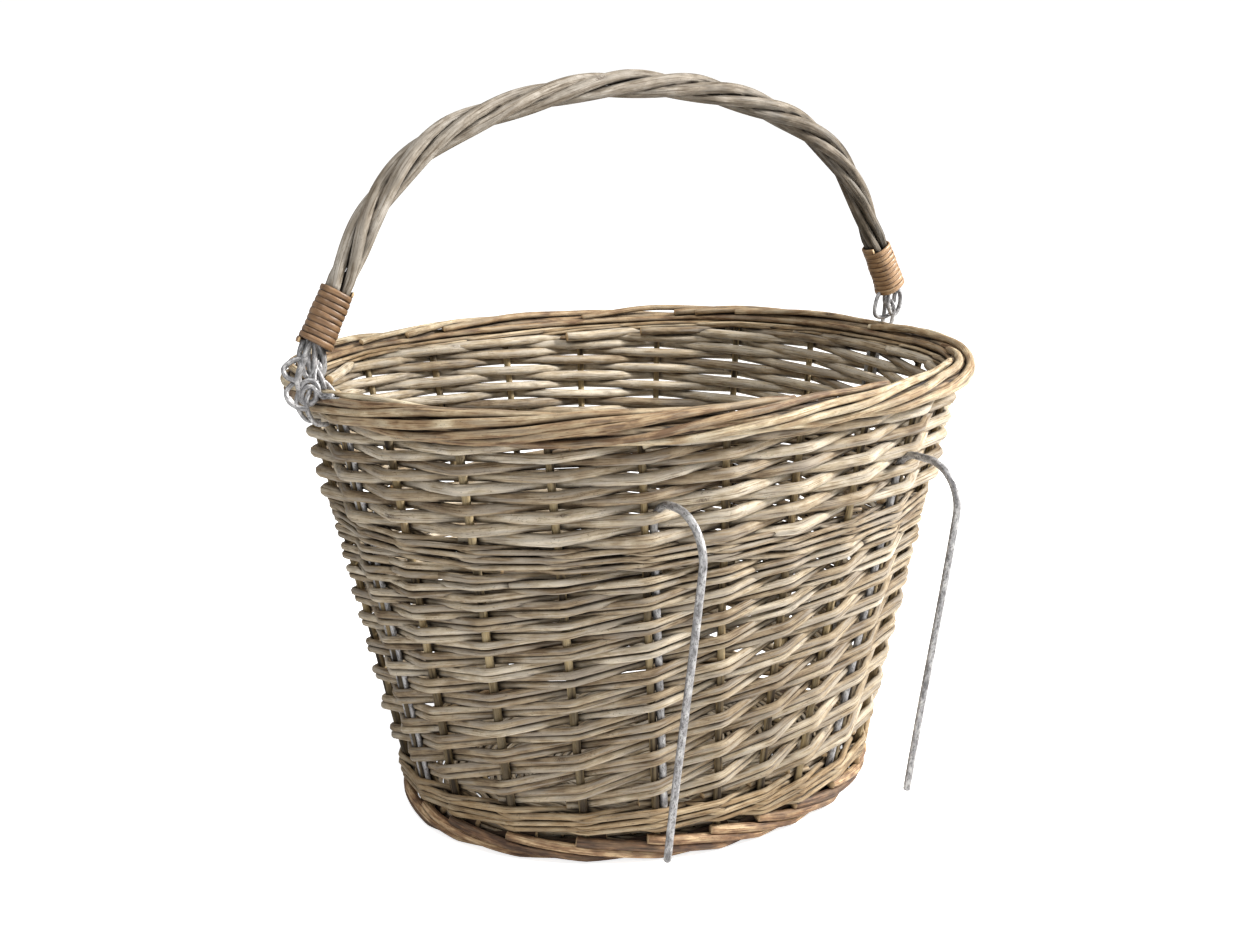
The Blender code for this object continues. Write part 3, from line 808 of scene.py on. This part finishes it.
weave = Rods()
for ring in range(-1, LAST_RING + 1):
    half = base_half[:2] - (RING_INSET + ring * RING_PITCH)
    angles, levels = stick_turns(half)
    count = len(angles)
    angles = np.concatenate([angles[-1:] - 2 * np.pi, angles, angles[:1] + 2 * np.pi])
    levels = np.concatenate([levels[-1:], levels, levels[:1]])
    around = np.linspace(0, 2 * np.pi, STEPS_PER_STICK * count + 1)
    phase = np.interp(around, angles, np.arange(-1, count + 1)) * np.pi + ring * np.pi
    stick_level = np.interp(around, angles, levels)
    for sign in (1, -1):
        lift = sign * np.cos(phase) * RING_LIFT
        push = sign * np.sin(phase) * RING_RADIUS * RING_PUSH
        level = np.clip(stick_level + lift, *RING_LEVELS)
        x = base_middle[0] + (half[0] + push) * np.cos(around)
        y = base_middle[1] + (half[1] + push) * np.sin(around)
        weave.add(np.stack([x, y, level], axis=1), RING_RADIUS * rng.uniform(0.93, 1.07), sides=6)
weave.piece("base_weave_rods", BASKET, WALL_WILLOW, "washed_willow", ["base_weave"])


# ---------------------------------------------------------------- handle

HANDLE_TOP = 0.3958
CROWN_RADIUS = 0.300
CROWN_ANGLE = math.radians(21)
CROWN_LENGTH = CROWN_RADIUS * CROWN_ANGLE
SHOULDER_RADIUS = 0.110
LEG_ANGLE = math.radians(63)
SHOULDER_LENGTH = SHOULDER_RADIUS * (LEG_ANGLE - CROWN_ANGLE)
LEG_LENGTH = 0.0607
HANDLE_REACH = CROWN_LENGTH + SHOULDER_LENGTH + LEG_LENGTH
BINDING_LENGTH = 0.034
ACROSS = np.array((0.0, 1.0, 0.0))


def handle_frame(walk):
    """Places and outward directions on the handle's arch, walk metres from its crown."""
    side = np.sign(walk)
    left = np.abs(walk)
    turn = np.minimum(left, CROWN_LENGTH) / CROWN_RADIUS
    x = CROWN_RADIUS * np.sin(turn)
    z = HANDLE_TOP - CROWN_RADIUS * (1 - np.cos(turn))
    turn = turn + np.clip(left - CROWN_LENGTH, 0, SHOULDER_LENGTH) / SHOULDER_RADIUS
    past = left > CROWN_LENGTH
    x = x + np.where(past, SHOULDER_RADIUS * (np.sin(turn) - math.sin(CROWN_ANGLE)), 0)
    z = z - np.where(past, SHOULDER_RADIUS * (math.cos(CROWN_ANGLE) - np.cos(turn)), 0)
    straight = np.maximum(left - CROWN_LENGTH - SHOULDER_LENGTH, 0)
    x = x + straight * math.cos(LEG_ANGLE)
    z = z - straight * math.sin(LEG_ANGLE)
    place = np.stack([side * x, np.full(len(x), TOP_Y), z], axis=1)
    outward = np.stack([side * np.sin(turn), np.zeros(len(x)), np.cos(turn)], axis=1)
    return place, outward


def around_handle(outward, turn):
    """Directions away from the handle's middle line, turned round it from its outward side."""
    return outward * np.cos(turn)[:, None] + ACROSS * np.sin(turn)[:, None]


TWISTS = 3.0
TWIST_LENGTH = 2 * (HANDLE_REACH - 0.011)
ROD_REACH = HANDLE_REACH - 0.004
ROD_RADIUS, ROD_ORBIT = 3.15 * MM, 4.5 * MM
HELD_RADIUS, HELD_ORBIT = 2.85 * MM, 4.0 * MM
HELD_FROM = HANDLE_REACH - BINDING_LENGTH - 0.004
HELD_EASE = 0.006
# Each rod's tone at its -X end, middle and +X end; the fall towards the +X end is painted shade on the
# handle's right leg.
ROD_TONES_WITH_PAINTED_SHADE = ((0.65, 0.5, -0.45), (0.85, 0.5, -0.15))
for number in range(4):
    walk = np.linspace(-ROD_REACH, ROD_REACH, 150)
    place, outward = handle_frame(walk)
    turn = 2 * np.pi * (number / 4 + TWISTS * walk / TWIST_LENGTH + wander(walk, 0.02, 0.35))
    taper = np.linspace(1.04, 0.96, len(walk)) ** (1 if number % 2 else -1)
    radius = ROD_RADIUS * (1 + wander(walk, 0.05, 0.3)) * taper
    orbit = ROD_ORBIT + wander(walk, 0.25 * MM, 0.22)
    held = np.clip((np.abs(walk) - HELD_FROM) / HELD_EASE, 0, 1)
    orbit = orbit * (1 - held) + HELD_ORBIT * held
    radius = radius * (1 - held) + HELD_RADIUS * held
    path = place + around_handle(outward, turn) * orbit[:, None]
    rod = Rods()
    rod.add(path, radius, sides=12, tone=ROD_TONES_WITH_PAINTED_SHADE[number % 2])
    name = f"handle_rod_{number + 1}"
    rod.piece(f"{name}_round", HANDLE, HANDLE_WILLOW, "washed_willow", [name])

WRAPS = 9.6
WRAP_STEPS = 22
STRIP_START = 1.9 * MM
STRIP_MARGINS = 3.6 * MM
STRIP_HALF_WIDTH = 1.66 * MM
STRIP_THINNESS = 0.48
# The binding's radius at some distances from the handle's end, and its swell over each of the four rods.
BULK_AT = (0, 3 * MM, 6 * MM, BINDING_LENGTH)
BULK = (9.3 * MM, 8.8 * MM, 8.2 * MM, 7.7 * MM)
BULK_SWELL = 0.045
for side, word in ((-1, "left"), (1, "right")):
    turn = np.linspace(0, 2 * np.pi * WRAPS, int(WRAPS * WRAP_STEPS) + 1)
    climb = STRIP_START + turn / (2 * np.pi * WRAPS) * (BINDING_LENGTH - STRIP_MARGINS)
    place, outward = handle_frame(side * (HANDLE_REACH - climb))
    down = np.array((side * math.cos(LEG_ANGLE), 0.0, -math.sin(LEG_ANGLE)))
    bulk = np.interp(climb, BULK_AT, BULK) * (1 + BULK_SWELL * np.cos(4 * (turn - 0.9)))
    bulk = bulk + wander(turn, 0.22 * MM, 8.3)
    half_width = STRIP_HALF_WIDTH * (1 + wander(turn, 0.09, 7.1))
    path = place + around_handle(outward, turn) * bulk[:, None]
    strip = Rods()
    strip.add(path, half_width, sides=10, across=np.tile(down, (len(turn), 1)), thin=STRIP_THINNESS)
    strip.piece(f"binding_{word}", HANDLE, CANE, "honey_cane", [f"handle_binding_{word}"])


# ---------------------------------------------------------------- wires

WIRE = 0.00135
WIRE_TONE = 0.5
EYE_HALF = 0.0040
BAR_BEND, BAR_LEVEL = 4.1, 264.1
RIM_BEND, RIM_BEND_LEVEL = 4.0, 259.1
LEG_LEVELS = (0.018, 0.07, 0.13, 0.19, 0.234)


def at(side, out, along, level):
    """A point near an eye: out from the pin's middle, along +Y and level, all in millimetres."""
    return (side * (PIN_X + out * MM), TOP_Y + along * MM, level * MM)


def wire(rods, side, points, size=1.0):
    """A bent wire through points near an eye, each (out, along, level) in millimetres."""
    rods.add(spline([at(side, *point) for point in points], 5), WIRE * size, sides=10, tone=rng.uniform())


def pin_loop(lean, along):
    """The wire eye whose level bar is the hinge's pin."""
    start = [(-2.6, along - lean, 275), (-3.4, along, 269), (-4.1, along, 265.5)]
    bar = []
    for turn in np.radians(range(200, 341, 20)):
        bar.append((BAR_BEND * math.cos(turn), along, BAR_LEVEL + BAR_BEND * math.sin(turn)))
    end = [(4.1, along, 265.5), (4.6, along, 269), (3.4, along + lean, 275)]
    return start + bar + end


def rim_eye(side, stake, twist, rise, whole):
    """The wire over the hinge's pin. A whole one has its legs down the wall beside the end stake."""
    legs = []
    for hand in (-1, 1):
        leg = []
        for level in LEG_LEVELS if whole else LEG_LEVELS[-1:]:
            x, y, z = at_level(np.array([stake]), np.array([level]))[0]
            leg.append((x, y + hand * EYE_HALF, z))
        leg.append(at(side, -3.6, hand * 4, 243))
        leg.append(at(side, -0.9, hand * (4 + twist), 251))
        leg.append(at(side, 0, hand * (4 + twist * 0.5), 256.5 + rise))
        legs.append(leg)
    crown = []
    for turn in np.radians(range(160, 19, -20)):
        level = RIM_BEND_LEVEL + rise + RIM_BEND * math.sin(turn)
        crown.append(at(side, twist * 0.8, RIM_BEND * math.cos(turn), level))
    return legs[0] + crown + legs[1][::-1]


CURL_STEPS = 12
CURL_TIGHTENS = 0.10
CURL_OUT, CURL_ALONG = -0.83, -0.56
CURL_SLOPE = 0.15
CURL_CLIMB = 0.06


def curl(turns, wide, tall, middle, start):
    """A tightening coil that faces the front left of the basket. All in millimetres, and start in degrees."""
    points = []
    for i in range(int(turns * CURL_STEPS) + 1):
        turn = math.radians(start + 360 // CURL_STEPS * i)
        size = 1 - CURL_TIGHTENS * i / CURL_STEPS
        u, v = wide * size * math.cos(turn), tall * size * math.sin(turn)
        out, along = middle[0] + CURL_OUT * u, middle[1] + CURL_ALONG * u - CURL_CLIMB * i
        points.append((out, along, middle[2] + v + CURL_SLOPE * u))
    return points


# Wires of the handle's eyes and of the tangle at the left end, each point (out, along, level) in millimetres.
TEARDROP = [
    (-0.5, -3, 274), (-3.8, -3.4, 267), (-3.8, -3.4, 260), (0.2, -3.2, 254.4),
    (4.8, -3, 257.6), (6.4, -3, 265), (3.6, -2, 274),
]
SECOND_LOOP = [
    (-4.6, 0.6, 271), (-8.6, 0.8, 267), (-11, 0.6, 261.4), (-11.4, 0.4, 255.6),
    (-8, 0.2, 253.3), (-3, 0, 253.2), (1, 0, 254.4),
]
LEFT_LOOPS = (
    [(1.0, -3, 274), (-2.2, -3, 266), (-2.6, -3, 259), (0.6, -3.2, 255.2),
     (4.2, -3, 258), (5.8, -3, 265), (4.0, -2, 274)],
    [(5.5, 2, 274), (8.2, 1.6, 267), (7.4, 0.6, 260), (3.4, -0.6, 256.2),
     (-0.6, 0.4, 258.6), (-1.6, 2, 266), (-1, 2, 274)],
    [(3.0, -3, 275), (7.6, -4.2, 268), (9.2, -4.0, 262), (7.6, -3.2, 257.2),
     (4.6, -3.4, 256.4), (3.0, -4.2, 262), (2, -3, 274)],
)
# Each with its thickness, as a share of the wire of the eyes.
LASHINGS = (
    (1.0, [(4.5, -2, 267), (8.2, -3.6, 264), (11.0, -4.0, 258)]
     + curl(1.6, 5.0, 6.2, (7.0, -4.9, 249.2), 150)),
    (0.9, [(7.0, -2.5, 266), (10.5, -4, 262), (12.8, -4.6, 255)]
     + curl(1.5, 3.9, 4.8, (7.4, -5.8, 247.6), 190)),
    (1.0, [(4.0, -1, 263.5), (9.5, 0, 265), (14.0, 0.5, 263.6), (17.6, 0, 260.6),
           (16.6, -1.5, 257), (12.4, -2.5, 254.6), (7, -3, 252)]),
    (0.95, [(11, -1, 255), (15, -2, 252.6), (18, -3, 249.6), (17.4, -5, 245.2),
            (13.6, -7, 242.2), (9.4, -8, 241.2)]),
    (0.9, [(-6, 3, 236), (-7.5, 2, 243), (-3.5, 0, 252), (3.5, 1, 254),
           (9.2, 2, 248), (10, 3, 241), (5.5, 3, 233.5), (-2, 3, 232)]),
    (0.9, [(-7, -3, 236), (-8, -4, 244), (-3, -3, 252.5), (3.5, -5, 253),
           (9, -7, 246), (9, -8, 239), (4.5, -7, 233), (-2, -6, 232)]),
    (0.65, [(0, -2, 264), (2.5, -4.5, 260), (4.2, -6.6, 254.5), (3.7, -8.2, 250),
            (2.8, -11, 248.2), (1.8, -15, 248.5), (1.2, -19, 248.7)]),
    (0.5, [(4.6, -7.4, 250.5), (3.4, -12, 247.0), (2.2, -17, 247.6), (1.0, -21, 247.8), (-0.2, -25, 248)]),
    (0.9, [(1.4, -18.2, 248.8), (1.2, -19.4, 248.8), (1.0, -20.4, 248.7)]),
)

for side, word, stake in ((-1, "left", 0), (1, "right", 12)):
    eye = Rods()
    wire(eye, side, pin_loop(0.0, 0.0))
    if side < 0:
        wire(eye, side, pin_loop(0.6, 2.2), 0.92)
        for points in LEFT_LOOPS:
            wire(eye, side, points)
    else:
        wire(eye, side, TEARDROP)
        wire(eye, side, SECOND_LOOP, 0.95)
    eye.piece(f"handle_eye_{word}_wire", HANDLE, EYE_WIRE, "galvanised_wire", [f"handle_eye_{word}"])

    loop = Rods()
    loop.add(spline(rim_eye(side, stake, 0.0, 0.0, True), 4), WIRE, sides=10, tone=WIRE_TONE)
    if side < 0:
        loop.add(spline(rim_eye(side, stake, 1.8, -0.9, False), 4), WIRE * 0.9, sides=10, tone=WIRE_TONE)
        for size, points in LASHINGS:
            wire(loop, side, points, size)
    loop.piece(f"rim_wire_{word}_wire", BASKET, EYE_WIRE, "galvanised_wire", [f"rim_wire_{word}"])

HOOK_RADIUS = 0.0020
HOOK_BESIDE = 4.6 * MM
HOOK_FARTHEST = -0.167
HOOK_SHOULDER = 0.014
HOOK_BEND = 0.022
HOOK_LEAN = math.radians(9.6)
HOOK_LOWEST = 0.0195
HOOK_SWAY = 0.3 * MM
# Stake, side of the stake, name, level of the arch's top, and how far the arch is drawn in towards the wall.
HOOKS = ((4, 1, "left", 0.2035, 0.006), (8, -1, "right", 0.2070, 0.0))


def bend(x, y, z, radius, angles):
    """Points on an arc round (x, y, z) in the plane across X."""
    return [(x, y + radius * math.cos(angle), z + radius * math.sin(angle)) for angle in angles]


for stake, side, word, arch_top, drawn_in in HOOKS:
    levels = np.linspace(LEG_LEVELS[0], arch_top - HOOK_SHOULDER, 9)
    leg = at_level(np.full(len(levels), stake), levels)
    beside = unit(wall([stake + 0.05], WALL_TOP) - wall([stake - 0.05], WALL_TOP))[0]
    leg = leg + beside * HOOK_BESIDE * side
    x, y, z = leg[-1]
    line = [tuple(point) for point in leg]
    line += bend(x, y - HOOK_SHOULDER, z, HOOK_SHOULDER, np.radians(np.arange(10, 91, 10)))
    arch = np.linspace(math.pi / 2, math.pi + HOOK_LEAN, 12)
    line += bend(x, HOOK_FARTHEST + drawn_in + HOOK_BEND, arch_top - HOOK_BEND, HOOK_BEND, arch)
    _, arch_y, arch_z = line[-1]
    for z in np.linspace(arch_z, HOOK_LOWEST, 12)[1:]:
        drop = arch_z - z
        line.append((x + HOOK_SWAY * math.sin(drop * 40), arch_y + drop * math.tan(HOOK_LEAN), z))
    hook = Rods()
    hook.add(line, HOOK_RADIUS, sides=14, tone=WIRE_TONE)
    hook.piece(f"hook_{word}_wire", BASKET, HOOK_WIRE, "galvanised_wire", [f"hook_{word}"])


# ---------------------------------------------------------------- floor, light and camera

FLOOR_HALF = 40
FLOOR_GLOW = 0.8
AMBIENT = 0.33
BACKDROP = 1.05
WHITE = (1.0, 1.0, 1.0)

floor_mesh = bpy.data.meshes.new("floor")
corners = [(x * FLOOR_HALF, y * FLOOR_HALF, 0) for x, y in ((-1, -1), (1, -1), (1, 1), (-1, 1))]
floor_mesh.from_pydata(corners, [], [(0, 1, 2, 3)])
floor = bpy.data.objects.new("floor", floor_mesh)
bpy.context.scene.collection.objects.link(floor)
g = Graph("floor")
paper = g.noise(g.node("ShaderNodeTexCoord").outputs["Object"], 3.0, 1.0)
colour = g.ramp(paper, [(0.3, (0.90, 0.90, 0.90, 1)), (0.7, (0.93, 0.93, 0.93, 1))])
seen = g.fit(g.node("ShaderNodeLightPath").outputs["Is Camera Ray"], 0.0, 1.0, 0.0, FLOOR_GLOW)
glow = {"Emission Color": (*WHITE, 1), "Emission Strength": seen}
floor_mesh.materials.append(g.finish(colour, 0.9, paper, 0.0, 0.001, **glow))

world = bpy.data.worlds.new("studio")
world.use_nodes = True
tree = world.node_tree
background = tree.nodes["Background"]
path = tree.nodes.new("ShaderNodeLightPath")
strength = tree.nodes.new("ShaderNodeMapRange")
tree.links.new(path.outputs["Is Camera Ray"], strength.inputs["Value"])
strength.inputs["To Min"].default_value = AMBIENT
strength.inputs["To Max"].default_value = BACKDROP
background.inputs["Color"].default_value = (*WHITE, 1)
tree.links.new(strength.outputs[0], background.inputs["Strength"])
bpy.context.scene.world = world


def area_light(name, place, target, size, power, colour=WHITE):
    """A square lamp of size metres at place, aimed at target. power is in watts."""
    lamp = bpy.data.lights.new(name, "AREA")
    lamp.size = size
    lamp.energy = power
    lamp.color = colour
    made = bpy.data.objects.new(name, lamp)
    made.location = place
    made.rotation_euler = (Vector(target) - Vector(place)).to_track_quat("-Z", "Y").to_euler()
    bpy.context.scene.collection.objects.link(made)


area_light("key", (1.55, -0.95, 1.30), (0, 0, 0.15), size=0.32, power=83, colour=(1.0, 0.985, 0.965))
area_light("top", (-0.5, -0.5, 1.9), (0, 0, 0.2), size=0.9, power=20)
area_light("front", (-1.0, -1.4, 0.45), (0, 0, 0.08), size=0.5, power=2.5)
make_pieces()

LENS = 47.47
SENSOR_WIDTH = 36
CAMERA_PLACE = (-0.5215, -0.7498, 0.4068)
CAMERA_DOWN = 13.84
CAMERA_TURN = -34.28

camera_data = bpy.data.cameras.new("camera")
camera_data.lens = LENS
camera_data.sensor_width = SENSOR_WIDTH
camera = bpy.data.objects.new("camera", camera_data)
camera.location = CAMERA_PLACE
camera.rotation_euler = (math.radians(90 - CAMERA_DOWN), 0, math.radians(CAMERA_TURN))
bpy.context.scene.collection.objects.link(camera)
bpy.context.scene.camera = camera
bpy.context.scene.view_settings.view_transform = "Standard"
